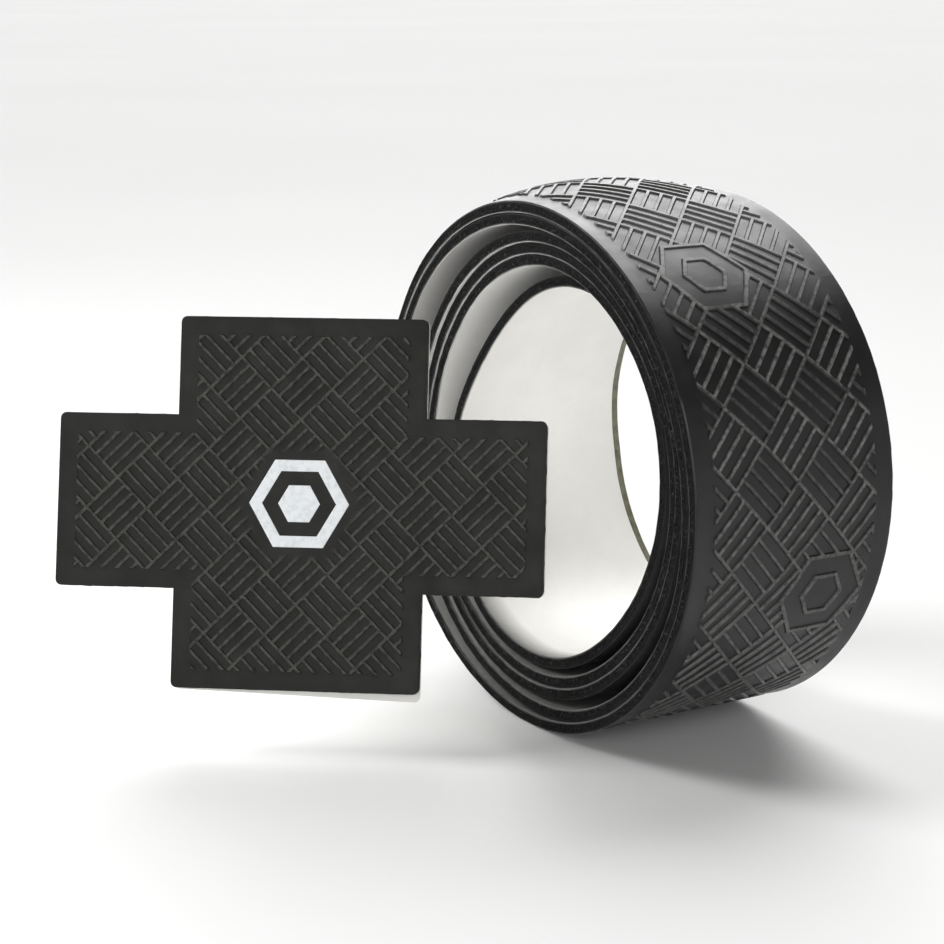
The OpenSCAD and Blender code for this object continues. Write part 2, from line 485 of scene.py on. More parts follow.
def skin_material(name, dark, light, ridge_highlight, roughness, specular):
    """Satin embossed polymer: fine grain, faint smears, ridges painted paler as a highlight,
    matt cuts.
    """
    shader = Shader(name)
    face = shader.ramp(shader.noise(scale=140, detail=4), [(0.3, dark), (0.72, light)])
    # painted highlight: the ridges are lightened toward a pale colour, in beads along them
    highlight_amount = shader.node("ShaderNodeMath")
    highlight_amount.operation = "MULTIPLY"
    patchy = shader.noise(scale=1500, detail=2, roughness=0.6)
    shader.feed(highlight_amount.inputs[0], shader.attribute("ridge"))
    shader.feed(highlight_amount.inputs[1], shader.map_range(patchy, low=0.25, high=1.0,
                                                from_min=0.36, from_max=0.60))
    highlit_face = shader.mix_colours(highlight_amount.outputs[0], face, ridge_highlight)
    cut = shader.attribute("cut")
    cut_colour = shader.ramp(shader.noise(scale=2300, detail=3, roughness=0.7), [
        (0.4, (0.003, 0.003, 0.003)), (0.66, (0.013, 0.013, 0.0125)),
        (0.8, (0.06, 0.06, 0.058))])
    gloss = shader.node("ShaderNodeMix")
    smears = shader.map_range(shader.noise(scale=330, detail=3),
                              low=roughness - 0.06, high=roughness + 0.07)
    cut_roughness, cut_specular = 0.85, 0.14
    shader.feed(gloss.inputs["Factor"], cut)
    shader.feed(gloss.inputs[2], smears)
    shader.feed(gloss.inputs[3], cut_roughness)
    shader.surface(
        colour=shader.mix_colours(cut, highlit_face, cut_colour),
        roughness=gloss.outputs[0],
        specular=shader.map_range(cut, low=specular, high=cut_specular,
                                  from_min=0.0, from_max=1.0))
    shader.bump(shader.noise(scale=5200, detail=2), distance=0.000018, strength=0.55)
    shader.bump(shader.noise(scale=1100, detail=2), distance=0.00003, strength=0.35)
    return shader.material


def foam_material():
    """Open-cell foam, torn cells on its cut edges."""
    shader = Shader("cushion_foam")
    cells = shader.node("ShaderNodeTexVoronoi")
    cells.inputs["Scale"].default_value = 4200
    shader.feed(cells.inputs["Vector"], shader.coordinates)
    colour = shader.ramp(shader.noise(scale=2600, detail=4, roughness=0.7), [
        (0.34, (0.002, 0.0021, 0.0021)), (0.57, (0.010, 0.0105, 0.010)),
        (0.68, (0.055, 0.057, 0.055)), (0.82, (0.15, 0.155, 0.15))])
    shader.surface(colour, roughness=0.92, specular=0.12)
    shader.bump(cells.outputs["Distance"], distance=0.0001, strength=0.8)
    shader.bump(shader.noise(scale=1500, detail=3), distance=0.00012, strength=0.6)
    return shader.material


def adhesive_material():
    """Yellowish adhesive, dark where soiled."""
    shader = Shader("adhesive")
    unmarked_colour = shader.ramp(shader.noise(scale=900, detail=3),
                        [(0.3, (0.085, 0.080, 0.050)), (0.75, (0.22, 0.21, 0.145))])
    shader.surface(
        colour=shader.mix_colours(shader.attribute("soil_and_shade"), unmarked_colour, (0.016, 0.016, 0.0145)),
        roughness=shader.map_range(shader.noise(scale=500, detail=2), low=0.3, high=0.5))
    shader.bump(shader.noise(scale=1300, detail=3), distance=0.00004, strength=0.5)
    return shader.material


def paper_material(name, dark, light, roughness):
    """Release paper: warm white, faint fibres and clouding, darkened as painted shade where
    the attribute is set.
    """
    shader = Shader(name)
    stops = [(0.25, dark), (0.75, light)]
    clouds = shader.ramp(shader.noise(scale=160, detail=4), stops)
    fibres = shader.ramp(shader.noise(scale=1900, detail=4, roughness=0.7), stops)
    unmarked_colour = shader.mix_colours(0.35, clouds, fibres)
    # the dark colour laid as painted shade where the attribute is set
    painted_shade_colour = shader.ramp(shader.noise(scale=1100, detail=3, roughness=0.65),
                       [(0.35, (0.018, 0.018, 0.017)), (0.75, (0.085, 0.084, 0.079))])
    shader.surface(
        colour=shader.mix_colours(shader.attribute("soil_and_shade"), unmarked_colour, painted_shade_colour),
        roughness=shader.map_range(shader.noise(scale=420, detail=2),
                                   low=roughness - 0.07, high=roughness + 0.07),
        specular=0.45)
    shader.bump(shader.noise(scale=2400, detail=3), distance=0.00002, strength=0.4)
    return shader.material


def print_material():
    """Slightly uneven cool white print."""
    shader = Shader("white_print")
    colour = shader.ramp(shader.noise(scale=1300, detail=4),
                         [(0.28, (0.66, 0.70, 0.72)), (0.55, (0.82, 0.85, 0.87))])
    shader.surface(colour, roughness=0.55)
    shader.bump(shader.noise(scale=3600, detail=2), distance=0.000012, strength=0.4)
    return shader.material


def floor_material():
    shader = Shader("studio_floor")
    colour = shader.ramp(shader.noise(scale=3, detail=2),
                         [(0.3, (0.80, 0.80, 0.795)), (0.7, (0.82, 0.82, 0.815))])
    shader.surface(colour, roughness=0.9, specular=0.1)
    return shader.material


# the pale colour after dark and light is the painted highlight on the ridges
TAPE_SKIN = skin_material(
    "tape_skin", dark=(0.0055, 0.0057, 0.0058), light=(0.0125, 0.0127, 0.0125),
    ridge_highlight=(0.17, 0.17, 0.16), roughness=0.38, specular=0.42)
PATCH_SKIN = skin_material(
    "patch_skin", dark=(0.0105, 0.0107, 0.0092), light=(0.0185, 0.0185, 0.0163),
    ridge_highlight=(0.062, 0.062, 0.055), roughness=0.55, specular=0.22)
FOAM_MATERIAL = foam_material()
ADHESIVE_MATERIAL = adhesive_material()
LINER_PAPER = paper_material(
    "release_liner", dark=(0.80, 0.795, 0.765), light=(0.89, 0.885, 0.865), roughness=0.5)
PATCH_PAPER = paper_material(
    "patch_release_paper", dark=(0.74, 0.73, 0.69), light=(0.86, 0.85, 0.82),
    roughness=0.55)
PRINT = print_material()


def place_tape_piece(ob, piece, layer):
    """piece: 0 the free end, 1 to 5 the bends from there inward, 6 the coil"""
    parts = ["coil"] + [f"tail_{k}" for k in range(1, 6)]
    movers = parts[:5] + (["tail_5_release"] if layer == "liner" else ["tail_5"])
    joint = 6 - piece                       # a bend crosses from part joint-1 to part joint
    if joint == 0:
        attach(ob, "coil")
    elif joint == 6:
        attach(ob, movers[5])
    else:
        start = tape_point(CUTS[piece + 1], 0, LAYER_TOP[layer]) * MM
        end = tape_point(CUTS[piece], 0, LAYER_TOP[layer]) * MM
        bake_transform(ob)
    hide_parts(f"{parts[min(joint, 5)]}_{layer}")


# ---------------------------------------------------------------- plain tape layers
# Each profile lists a cross-section's points as (depth, y), from the near edge round.
MIDS = (0.12, 0.3, 0.5, 0.7, 0.88)          # places across the tape, as shares of its width


def between(depth, near, far, shares=MIDS):
    return [(depth, near + (far - near) * share) for share in shares]


def foam_profile(along, near, far):
    depths = [FOAM_TOP, FOAM_TOP + 0.14, FOAM_TOP + 0.32, FOAM_TOP + 0.5, ADHESIVE_TOP]
    set_in = [0.02, 0.05, 0.06, 0.05, 0.02]
    rows = [(depth, near + inset + ragged(along, (0.055, 0.55, 4 + j), (0.045, 1.6, 9 + j)))
            for j, (depth, inset) in enumerate(zip(depths, set_in))]
    rows += between(ADHESIVE_TOP, near, far)
    rows += [(depth, far - 0.04 + ragged(along, (0.05, 0.6, 14 + j), (0.04, 1.7, 19 + j)))
             for j, depth in enumerate(reversed(depths))]
    return rows + between(FOAM_TOP, near, far, MIDS[::-1])


def adhesive_profile(along, near, far):
    rows = [(ADHESIVE_TOP, near + 0.03 + ragged(along, (0.03, 0.9, 24))),
            (LINER_TOP, near + 0.02 + ragged(along, (0.03, 1.1, 25)))]
    rows += between(LINER_TOP, near, far)
    rows += [(LINER_TOP, far - 0.03), (ADHESIVE_TOP, far - 0.03)]
    return rows + between(ADHESIVE_TOP, near, far, MIDS[::-1])


def liner_profile(along, near, far):
    """The liner stops short of the far edge."""
    edge = near + 0.12 - ragged(along, (0.05, 7.0, 26), (0.03, 1.3, 27))
    far_edge = far - 1.15 + ragged(along, (0.10, 23.0, 50), (0.02, 2.0, 51))
    rows = [(LINER_TOP, edge), (LINER_TOP + 0.05, edge - 0.012),
            (THICKNESS, edge), (THICKNESS, edge + 0.22)]
    rows += between(THICKNESS, near, far)
    rows += [(THICKNESS, far_edge), (LINER_TOP, far_edge)]
    rows += between(LINER_TOP, near, far, MIDS[::-1])
    return rows + [(LINER_TOP, edge + 0.22)]


PLAIN_SKIN_CUT = [0.0, 0.35, 1, 1, 1, 1, 1, 1, 0.35, 0.0]     # "cut" of its ten points


def plain_skin_profile(along, near, far):
    depths = [0.0, 0.02, 0.16, 0.34, FOAM_TOP]
    set_in = [0.09, 0.01, 0.0, 0.0, 0.0]
    rows = [(depth, near + inset + ragged(along, (0.028, 0.7, 28 + j), (0.03, 2.2, 33)))
            for j, (depth, inset) in enumerate(zip(depths, set_in))]
    rows += [(depth, far - inset + ragged(along, (0.028, 0.7, 38 + j)))
             for j, (depth, inset) in enumerate(zip(depths[::-1], set_in[::-1]))]
    return rows


def layer_rings(profile, turns):
    """Cross-sections x points x 3."""
    near, far = near_y(turns), far_y(turns)
    rows = profile(along_at(turns), near, far)
    return np.stack([wound_point(turns, y, (y - near) / (far - near), depth)
                     for depth, y in rows], 1)


def adhesive_soil(turns, size):
    soil_and_shade = np.zeros((len(turns), size))
    soil_and_shade[:, :2] = 1.0                       # the near edge
    return soil_and_shade


# Painted shade on the liner, per point of its cross-section.
def liner_painted_shade(turns, size):
    angle = polar(turns)
    soil_and_shade = np.zeros((len(turns), size))
    # painted shade on the near edge all round, least toward -X and up
    less_shade = np.maximum(bump(angle, 128, 75, 1.0), 0.25 * bump(angle, 285, 60, 1.0))
    soil_and_shade[:, :3] = (1.0 - 0.75 * less_shade)[:, None]
    # painted shade: the exposed face is darker low on the roll and on the second turn
    low = np.sqrt(bump(angle, 262, 75, 1.0))
    second = clamp01((turns - 330) / 40.0) * clamp01((600 - turns) / 40.0)
    soil_and_shade[:, 3] = np.maximum(0.85 * low, 0.30 * second)
    soil_and_shade[:, 4] = np.where(turns < 1500, np.maximum(0.85 * low, 0.55 * second), 0.0)
    soil_and_shade[:, 5] = np.where(turns < 1500, np.maximum(0.6 * low, 0.70 * second), 0.0)
    return soil_and_shade


# The optional darkening is dirt on the adhesive's near edge and painted shade on the liner.
def build_plain_layer(layer, profile, material, soil_and_shade=None):
    grid = np.arange(0, WOUND + 0.001, STEP)
    rings = layer_rings(profile, grid)
    size = rings.shape[1]
    for piece, (start, end) in enumerate(zip(CUTS, CUTS[1:] + [WOUND])):
        span = slice(round(start / STEP), round(end / STEP) + 1)
        turns = grid[span]
        ob = make(f"tape_{layer}_{PIECES[piece]}", rings[span].reshape(-1, 3),
                  band_faces(len(turns), size), material, sharp=40)
        if soil_and_shade:
            add_attribute(ob, "soil_and_shade", soil_and_shade(turns, size).ravel())
        place_tape_piece(ob, piece, layer)


build_plain_layer("foam", foam_profile, FOAM_MATERIAL)
build_plain_layer("adhesive", adhesive_profile, ADHESIVE_MATERIAL, adhesive_soil)
build_plain_layer("liner", liner_profile, LINER_PAPER, liner_painted_shade)

# ---------------------------------------------------------------- embossed tape skin
SKIN_END = float(along_at(EMBOSS_END))
WEAVE_NEAR, WEAVE_FAR = -12.1, 12.4         # the weave stops short of both edges
SHOULDER = 0.22                             # width of the rounding at the cut edges
SHOULDER_DROP = 0.10
EDGE_STEP = 0.62
WALL_DEPTHS = (0.22, 0.36, FOAM_TOP)        # rows down the cut edge
tread = Weave(x=92.46, z=0.25, pitch_x=9.903, pitch_z=9.30, ridge=0.36, slope=0.13,
              depth=0.23)

# raised hexagons, alternating sides; sizes are apothems and widths
MARK_PITCH = 43.4
MARK_CLEAR = 8                              # none centred nearer than this to either end
MARK_ACROSS = (5.9, -3.6)
MARK_SIZE = 5.6
MARK_RIM = 0.45
MARK_RING, MARK_RING_HALF = 2.6, 0.22       # inner raised ring and half its width
MARK_DEPTH = 0.20


def mark_places():
    places = []
    along = float(along_at(128.4)) - 3 * MARK_PITCH
    side = 0
    while along < SKIN_END - MARK_CLEAR:
        if along > MARK_CLEAR:
            places.append((along, MARK_ACROSS[side]))
        side = 1 - side
        along += MARK_PITCH
    return places


MARKS = mark_places()


def tread_depth(along, across):
    border = np.minimum(across - WEAVE_NEAR, WEAVE_FAR - across)
    margin = np.where(across < 0, WEAVE_NEAR + HALF, HALF - WEAVE_FAR)
    depth = tread.depth * tread.sunk(along, across, border, margin)
    slope = tread.slope
    for mark_along, mark_across in MARKS:
        reach = hex_apothem(along - mark_along, across - mark_across)
        depth = np.where(reach < MARK_SIZE + slope,
                         depth * clamp01((reach - MARK_SIZE) / slope), depth)
        inner = clamp01((MARK_SIZE - MARK_RIM - reach) / slope)
        ring = clamp01((np.abs(reach - MARK_RING) - MARK_RING_HALF) / slope)
        depth = np.where(reach < MARK_SIZE - MARK_RIM,
                         MARK_DEPTH * np.minimum(inner, ring), depth)
    edge = np.minimum(across + HALF, HALF - across)
    return depth + SHOULDER_DROP * clamp01((SHOULDER - edge) / SHOULDER) ** 2


def tread_sheet(cuts):
    """Triangulate the flat skin, as (along, across), following all its relief."""
    stations = []
    for a, b in zip(cuts[:-1], cuts[1:]):
        count = max(1, round((b - a) / EDGE_STEP))
        stations += [a + (b - a) * i / count for i in range(count)]
    stations.append(SKIN_END)
    segments = []
    for across in (-HALF, HALF):
        segments += [((a, across), (b, across))
                     for a, b in zip(stations[:-1], stations[1:])]
    for across in (-HALF + SHOULDER, HALF - SHOULDER):
        segments += [((a, across), (b, across))
                     for a, b in zip(stations[:-2:2], stations[2::2])]
    points = [(along, across) for across in (-14.3, -13.6, -12.8, 13.1, 13.8, 14.4)
              for along in stations[::2]]
    for cut in cuts:
        segments += line((cut, -HALF), (cut, -HALF + SHOULDER), 0.3)
        segments += line((cut, -HALF + SHOULDER), (cut, HALF - SHOULDER), 2.0)
        segments += line((cut, HALF - SHOULDER), (cut, HALF), 0.3)
    segments += tread.outlines(
        (0.0, SKIN_END), (-HALF, HALF),
        keep=lambda x, z: (0.05 < x < SKIN_END - 0.05
                           and WEAVE_NEAR - WEAVE_SLACK < z < WEAVE_FAR + WEAVE_SLACK))
    slope = tread.slope
    for across in (WEAVE_NEAR, WEAVE_NEAR + slope, WEAVE_FAR, WEAVE_FAR - slope):
        segments += line((0.0, across), (SKIN_END, across), 1.5)
    well = MARK_SIZE - MARK_RIM
    outer, inner = MARK_RING + MARK_RING_HALF, MARK_RING - MARK_RING_HALF
    for along, across in MARKS:
        for apothem in (MARK_SIZE + slope, MARK_SIZE, well, well - slope,
                        outer + slope, outer, inner, inner - slope):
            segments += loop(hex_corners(apothem, along, across), 1.5)
    flat, faces = triangulate(segments, points)
    across = flat[:, 1]
    flat[:, 1] = np.where(np.abs(np.abs(across) - HALF) < 1e-3,
                          np.sign(across) * HALF, across)
    return flat, faces


skin_cuts = [float(along_at(cut)) for cut in CUTS] + [SKIN_END]
sheet, sheet_faces = tread_sheet(skin_cuts)
sheet_centres = sheet[np.array(sheet_faces)].mean(1)
sheet_along, sheet_across = sheet.T
sheet_turn = turn_at(sheet_along)
sheet_depth = tread_depth(sheet_along, sheet_across)
near_rim = np.abs(sheet_across + HALF) < 1e-3
far_rim = np.abs(sheet_across - HALF) < 1e-3
sheet_points = tape_point(sheet_turn, sheet_across, sheet_depth)
SLOW_WAVE = (0.03, 2.2, 33)                 # shared by all rows of the near edge
sheet_points[near_rim, 1] += 0.06 + ragged(sheet_along, (0.028, 0.7, 28), SLOW_WAVE)[near_rim]
sheet_points[far_rim, 1] += -0.06 + ragged(sheet_along, (0.028, 0.7, 42))[far_rim]


def painted_ridge_highlights():
    """Painted highlight on the ridges; round the +X side it is stronger on the plain tiles
    and weaker on the turned ones.
    """
    in_weave = clamp01((sheet_across - WEAVE_NEAR + 0.02) / 0.05)
    in_weave *= clamp01((WEAVE_FAR - sheet_across + 0.02) / 0.05)
    in_weave *= clamp01((sheet_along - 0.3) / 0.3)
    ridge = in_weave * clamp01(1 - sheet_depth / 0.11)
    plus_x = bump(polar(sheet_turn), 24.0, 48.0, 1.0)
    change = np.where(tread.turned(sheet_along, sheet_across), -0.24, 0.5)
    return ridge * (0.5 + plus_x * change)


sheet_ridge_highlight = painted_ridge_highlights()


def embossed_piece(start, end):
    """Closed shell of the skin between two lengths: verts, faces, painted ridge highlight and
    cut values.
    """
    picked = [face for face, centre in zip(sheet_faces, sheet_centres)
              if start < centre[0] < end and abs(centre[1]) < HALF]
    used = sorted({i for face in picked for i in face})
    index = {old: new for new, old in enumerate(used)}
    verts = [sheet_points[i] for i in used]
    faces = [tuple(index[i] for i in face) for face in picked]

    def add_row(points):
        first = len(verts)
        verts.extend(points)
        return list(range(first, len(verts)))

    def add_wall(rim, across, edge_y, noise_row, *waves):
        top = sorted((i for i in used if rim[i]), key=lambda i: sheet[i, 0])
        along = sheet[top, 0]
        turns = turn_at(along)
        wall = [[index[i] for i in top]]
        for level, depth in enumerate(WALL_DEPTHS):
            points = tape_point(turns, across, depth)
            rough = ragged(along, (0.03, 0.7, noise_row + level), *waves)
            points[:, 1] = edge_y(turns) + rough
            wall.append(add_row(points))
        for upper, lower in zip(wall[:-1], wall[1:]):
            for i in range(len(top) - 1):
                faces.append((upper[i], upper[i + 1], lower[i + 1], lower[i]))
        return wall, turns

    near, turns = add_wall(near_rim, -HALF, near_y, 29, SLOW_WAVE)
    far, _ = add_wall(far_rim, HALF, far_y, 43)
    wall_end = len(verts)
    under = [near[3]]
    for share in MIDS:
        under.append(add_row(tape_point(turns, (2 * share - 1) * HALF, FOAM_TOP)))
    under.append(far[3])
    for a, b in zip(under[:-1], under[1:]):
        for i in range(len(turns) - 1):
            faces.append((a[i], b[i], b[i + 1], a[i + 1]))
    for along, column in ((start, 0), (end, -1)):
        top = sorted((i for i in used if abs(sheet[i, 0] - along) < 1e-3),
                     key=lambda i: sheet[i, 1])
        cap = [index[i] for i in top] + [row[column] for row in far[1:]]
        cap += [row[column] for row in under[-2:0:-1]]
        cap += [row[column] for row in near[:0:-1]]
        faces.append(tuple(cap))
    ridge, cut = np.zeros(len(verts)), np.zeros(len(verts))
    ridge[:len(used)] = sheet_ridge_highlight[used]
    cut[len(used):wall_end] = 1.0
    return np.array(verts), faces, ridge, cut


def build_tape_skin():
    for piece, name in enumerate(PIECES):
        verts, faces, ridge, cut = embossed_piece(skin_cuts[piece], skin_cuts[piece + 1])
        if name == "coil":                  # the plain inner turns are a second shell
            rings = layer_rings(plain_skin_profile,
                                np.arange(EMBOSS_END, WOUND + 0.001, STEP))
            count, size, _ = rings.shape
            faces += band_faces(count, size, base=len(verts))
            verts = np.vstack([verts, rings.reshape(-1, 3)])
            cut = np.r_[cut, np.tile(PLAIN_SKIN_CUT, count)]
            ridge = np.r_[ridge, np.zeros(count * size)]
        ob = make(f"tape_skin_{name}", verts, faces, TAPE_SKIN, sharp=28)
        # painted highlight on the ridges, read by the skin material
        add_attribute(ob, "ridge", ridge)
        add_attribute(ob, "cut", cut)
        place_tape_piece(ob, piece, "skin")


build_tape_skin()

# ---------------------------------------------------------------- the cross-shaped patch
# Local axes: x right, y back (depth under the skin's face), z up.
PATCH_PLACE = np.array([-9.4, -42.8, -2.6])
PATCH_TURN, PATCH_LEAN = math.radians(52.9), math.radians(-15.6)
_about_z = np.array([[math.cos(PATCH_TURN), -math.sin(PATCH_TURN), 0],
                     [math.sin(PATCH_TURN), math.cos(PATCH_TURN), 0], [0, 0, 1]])
_about_x = np.array([[1, 0, 0], [0, math.cos(PATCH_LEAN), -math.sin(PATCH_LEAN)],
                     [0, math.sin(PATCH_LEAN), math.cos(PATCH_LEAN)]])
PATCH_ROTATION = _about_z @ _about_x

CROSS_X, CROSS_Z = 62.0 / 2, 47.0 / 2       # half the size over the flaps
BODY_X, BODY_Z = 31.5 / 2, 22.0 / 2         # half the size of the centre
CORNER = 0.8
BEND = 2.6                                  # how far past a fold line the close-set lines reach
PATCH_MARGIN = 2.25                         # plain border round the weave
PATCH_SHOULDER = 0.2
PATCH_SHOULDER_DROP = 0.08
PRINT_SIZE = 5.5                            # apothem of the printed hexagon
CLEAR_START = PRINT_SIZE + 0.9              # the weave fades in between these two
CLEAR_END = PRINT_SIZE + 1.9
# (x, z) direction of each zone from the centre
ZONES = {"centre": (0, 0), "right": (1, 0), "left": (-1, 0), "top": (0, 1),
         "bottom": (0, -1)}
patch_weave = Weave(x=-3.93, z=18.37, pitch_x=7.76, pitch_z=7.77, ridge=0.30, slope=0.12,
                    depth=0.19)


def patch_world(points):
    return np.asarray(points, float) @ PATCH_ROTATION.T + PATCH_PLACE


def cross_outline():
    def arc(x, z, start, count=5):
        angles = [math.radians(start + 90 * i / count) for i in range(count + 1)]
        return [(x + CORNER * math.cos(a), z + CORNER * math.sin(a)) for a in angles]

    x, z, bx, bz, r = CROSS_X, CROSS_Z, BODY_X, BODY_Z, CORNER
    points = [(bx, -bz)] + arc(x - r, -bz + r, -90) + arc(x - r, bz - r, 0)
    points += [(bx, bz)] + arc(bx - r, z - r, 0) + arc(-bx + r, z - r, 90)
    points += [(-bx, bz)] + arc(-x + r, bz - r, 90) + arc(-x + r, -bz + r, 180)
    points += [(-bx, -bz)] + arc(-bx + r, -z + r, 180) + arc(bx - r, -z + r, 270)
    return points


OUTLINE = cross_outline()


def in_cross(x, z, inset=0.0):
    """mm inside the cross with square corners, negative outside"""
    x, z = np.abs(x), np.abs(z)
    wide = np.minimum(CROSS_X - inset - x, BODY_Z - inset - z)
    tall = np.minimum(BODY_X - inset - x, CROSS_Z - inset - z)
    return np.maximum(wide, tall)


def inside_outline(points):
    x, z = points.T
    inside = np.zeros(len(points), bool)
    for (ax, az), (bx, bz) in zip(OUTLINE, OUTLINE[-1:] + OUTLINE[:-1]):
        if az != bz:
            left_of = x < (bx - ax) * (z - az) / (bz - az) + ax
            inside ^= ((az > z) != (bz > z)) & left_of
    return inside


def square_cross(inset):
    x, z, bx, bz = CROSS_X - inset, CROSS_Z - inset, BODY_X - inset, BODY_Z - inset
    return [(x, -bz), (x, bz), (bx, bz), (bx, z), (-bx, z), (-bx, bz),
            (-x, bz), (-x, -bz), (-bx, -bz), (-bx, -z), (bx, -z), (bx, -bz)]


def chamfered_cross(inset):
    x, z, bx, bz = CROSS_X - inset, CROSS_Z - inset, BODY_X - inset, BODY_Z - inset
    return [(x - 1, -bz), (x, -bz + 1), (x, bz - 1), (x - 1, bz), (bx, bz),
            (bx, z - 1), (bx - 1, z), (-bx + 1, z), (-bx, z - 1), (-bx, bz),
            (-x + 1, bz), (-x, bz - 1), (-x, -bz + 1), (-x + 1, -bz), (-bx, -bz),
            (-bx, -z + 1), (-bx + 1, -z), (bx - 1, -z), (bx, -z + 1), (bx, -bz)]


def fold_lines(step):
    """The four fold lines and lines past them, close together just past each fold."""
    segments = []
    for past in (0, 0.35, 0.7, 1.05, 1.4, 1.75, 2.1, BEND, 4.0):
        for side in (-1, 1):
            x, z = side * (BODY_X + past), side * (BODY_Z + past)
            segments += line((x, -BODY_Z), (x, BODY_Z), step)
            segments += line((-BODY_X, z), (BODY_X, z), step)
    return segments


def patch_sheet(segments, points=()):
    flat, faces = triangulate(segments, points)
    inside = inside_outline(flat[np.array(faces)].mean(1))
    return flat, [face for face, kept in zip(faces, inside) if kept]


def zone_faces(flat, faces, zone):
    x, z = flat[np.array(faces)].mean(1).T
    side_x, side_z = ZONES[zone]
    in_x = side_x * x > BODY_X if side_x else np.abs(x) < BODY_X
    in_z = side_z * z > BODY_Z if side_z else np.abs(z) < BODY_Z
    return [face for face, kept in zip(faces, in_x & in_z) if kept]


def warp(points):
    """A lazy wave, as the sheet isn't dead flat."""
    x, z = points[:, 0], points[:, 2]
    wave = 0.10 * np.sin(x / 11.0 + 0.7) * np.cos(z / 13.0)
    points[:, 1] += wave * clamp01(in_cross(x, z, -2) / 8)
    return points


def slab(name, flat, faces, top, bottom, material, rows, rough, sharp, shift=None):
    """Closed sheet between two depths, its walls `rows` high and cut slightly rough."""
    used = sorted({i for face in faces for i in face})
    index = {old: new for new, old in enumerate(used)}
    count = len(used)
    xz = flat[used]
    upper = [tuple(index[i] for i in face) for face in faces]
    edges = dict.fromkeys(
        edge for face in upper for edge in zip(face, face[1:] + face[:1]))
    boundary = [(a, b) for a, b in edges if (b, a) not in edges]
    depths = np.broadcast_to(top, len(flat))[used]
    top_points = np.c_[xz[:, 0], depths, xz[:, 1]]
    bottom_points = np.c_[xz[:, 0], np.full(count, bottom), xz[:, 1]]
    rim = sorted({i for edge in boundary for i in edge})
    rim_index = {vertex: k for k, vertex in enumerate(rim)}
    outward = np.zeros((count, 2))
    for a, b in boundary:
        step = xz[b] - xz[a]
        normal = np.array([step[1], -step[0]]) / (np.hypot(*step) + 1e-9)
        outward[a] += normal
        outward[b] += normal
    outward /= np.maximum(np.hypot(*outward.T), 1e-9)[:, None]
    verts = [top_points, bottom_points]
    x, z = xz[rim].T
    on_outline = np.abs(in_cross(x, z)) < 0.6       # cuts along the folds stay straight
    for r in range(1, rows):
        share = r / rows
        wobble = rough * (smooth_noise((x + 3.1 * z) / 0.8, 44 + 2 * r)
                          + smooth_noise((z - 2.3 * x) / 0.9, 45 + 2 * r))
        wobble = np.where(on_outline, wobble, 0)
        y = top_points[rim, 1] * (1 - share) + bottom_points[rim, 1] * share
        verts.append(np.c_[x + outward[rim, 0] * wobble, y, z + outward[rim, 1] * wobble])
    shell = upper + [tuple(i + count for i in reversed(face)) for face in upper]

    def chain(vertex):
        middle = [2 * count + r * len(rim) + rim_index[vertex] for r in range(rows - 1)]
        return [vertex] + middle + [vertex + count]

    for a, b in boundary:
        down_a, down_b = chain(a), chain(b)
        for r in range(rows):
            shell.append((down_a[r], down_b[r], down_b[r + 1], down_a[r + 1]))
    points = warp(np.vstack(verts))
    if shift is not None:
        points = shift(points)
    return make(name, patch_world(points), shell, material, sharp)


def place_patch_piece(ob, zone, layer):
    if zone == "centre":
        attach(ob, "patch_centre")
        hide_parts(f"patch_{layer}")
    else:
        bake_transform(ob)
        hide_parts(f"{zone}_flap_{layer}")


def outside_print(x, z):
    """0 round the printed hexagon, 1 where the weave is at full strength"""
    return clamp01((hex_apothem(x, z, 30) - CLEAR_START) / (CLEAR_END - CLEAR_START))


def build_patch_skin():
    segments = loop(OUTLINE, 0.8) + fold_lines(1.6)
    segments += patch_weave.outlines(
        (-CROSS_X, CROSS_X), (-CROSS_Z, CROSS_Z),
        keep=lambda x, z: in_cross(x, z, PATCH_MARGIN - WEAVE_SLACK) > 0)
    for inset in (PATCH_MARGIN, PATCH_MARGIN + patch_weave.slope):
        segments += loop(square_cross(inset), 1.6)
    for apothem in (CLEAR_START, CLEAR_END):
        segments += loop(hex_corners(apothem, turned=30), 1.5)
    segments += loop(chamfered_cross(PATCH_SHOULDER), 1.6)
    flat, faces = patch_sheet(segments)

    x, z = flat.T
    border = in_cross(x, z, PATCH_MARGIN)
    sunk = patch_weave.sunk(x, z, border, PATCH_MARGIN) * outside_print(x, z)
    shoulder = clamp01((PATCH_SHOULDER - in_cross(x, z)) / PATCH_SHOULDER) ** 2
    depth = patch_weave.depth * sunk + PATCH_SHOULDER_DROP * shoulder
    # painted highlight on the ridges, as on the tape, none round the print
    ridge = clamp01(1 - depth / 0.13) * clamp01((border + 0.03) / 0.05)
    ridge *= outside_print(x, z)
    for zone in ZONES:
        picked = zone_faces(flat, faces, zone)
        ob = slab(f"patch_skin_{zone}", flat, picked, depth, FOAM_TOP, PATCH_SKIN,
                  rows=3, rough=0.03, sharp=28)
        used = sorted({i for face in picked for i in face})
        rest = np.zeros(len(ob.data.vertices) - len(used))
        add_attribute(ob, "ridge", np.r_[ridge[used], rest])
        place_patch_piece(ob, zone, "skin")


def build_patch_backing(flat, faces, layer, top, bottom, material, rows, rough):
    for zone in ZONES:
        ob = slab(f"patch_{layer}_{zone}", flat, zone_faces(flat, faces, zone), top, bottom,
                  material, rows=rows, rough=rough, sharp=40)
        place_patch_piece(ob, zone, layer)


def askew(points):
    """The paper sits a little to the right; its lower flap is long, most so there."""
    x, z = points[:, 0].copy(), points[:, 2].copy()
    low = clamp01((-z - BODY_Z) / (CROSS_Z - BODY_Z))
    points[:, 0] = x + 0.10
    points[:, 2] = z - low * (0.62 + 0.42 * x / BODY_X)
    return points


def build_patch_paper(flat, faces):
    ob = slab("patch_release_paper", flat, faces, LINER_TOP + 0.01, THICKNESS, PATCH_PAPER,
              rows=2, rough=0.015, sharp=40, shift=askew)
    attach(ob, "patch_release")
    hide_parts("patch_liner")


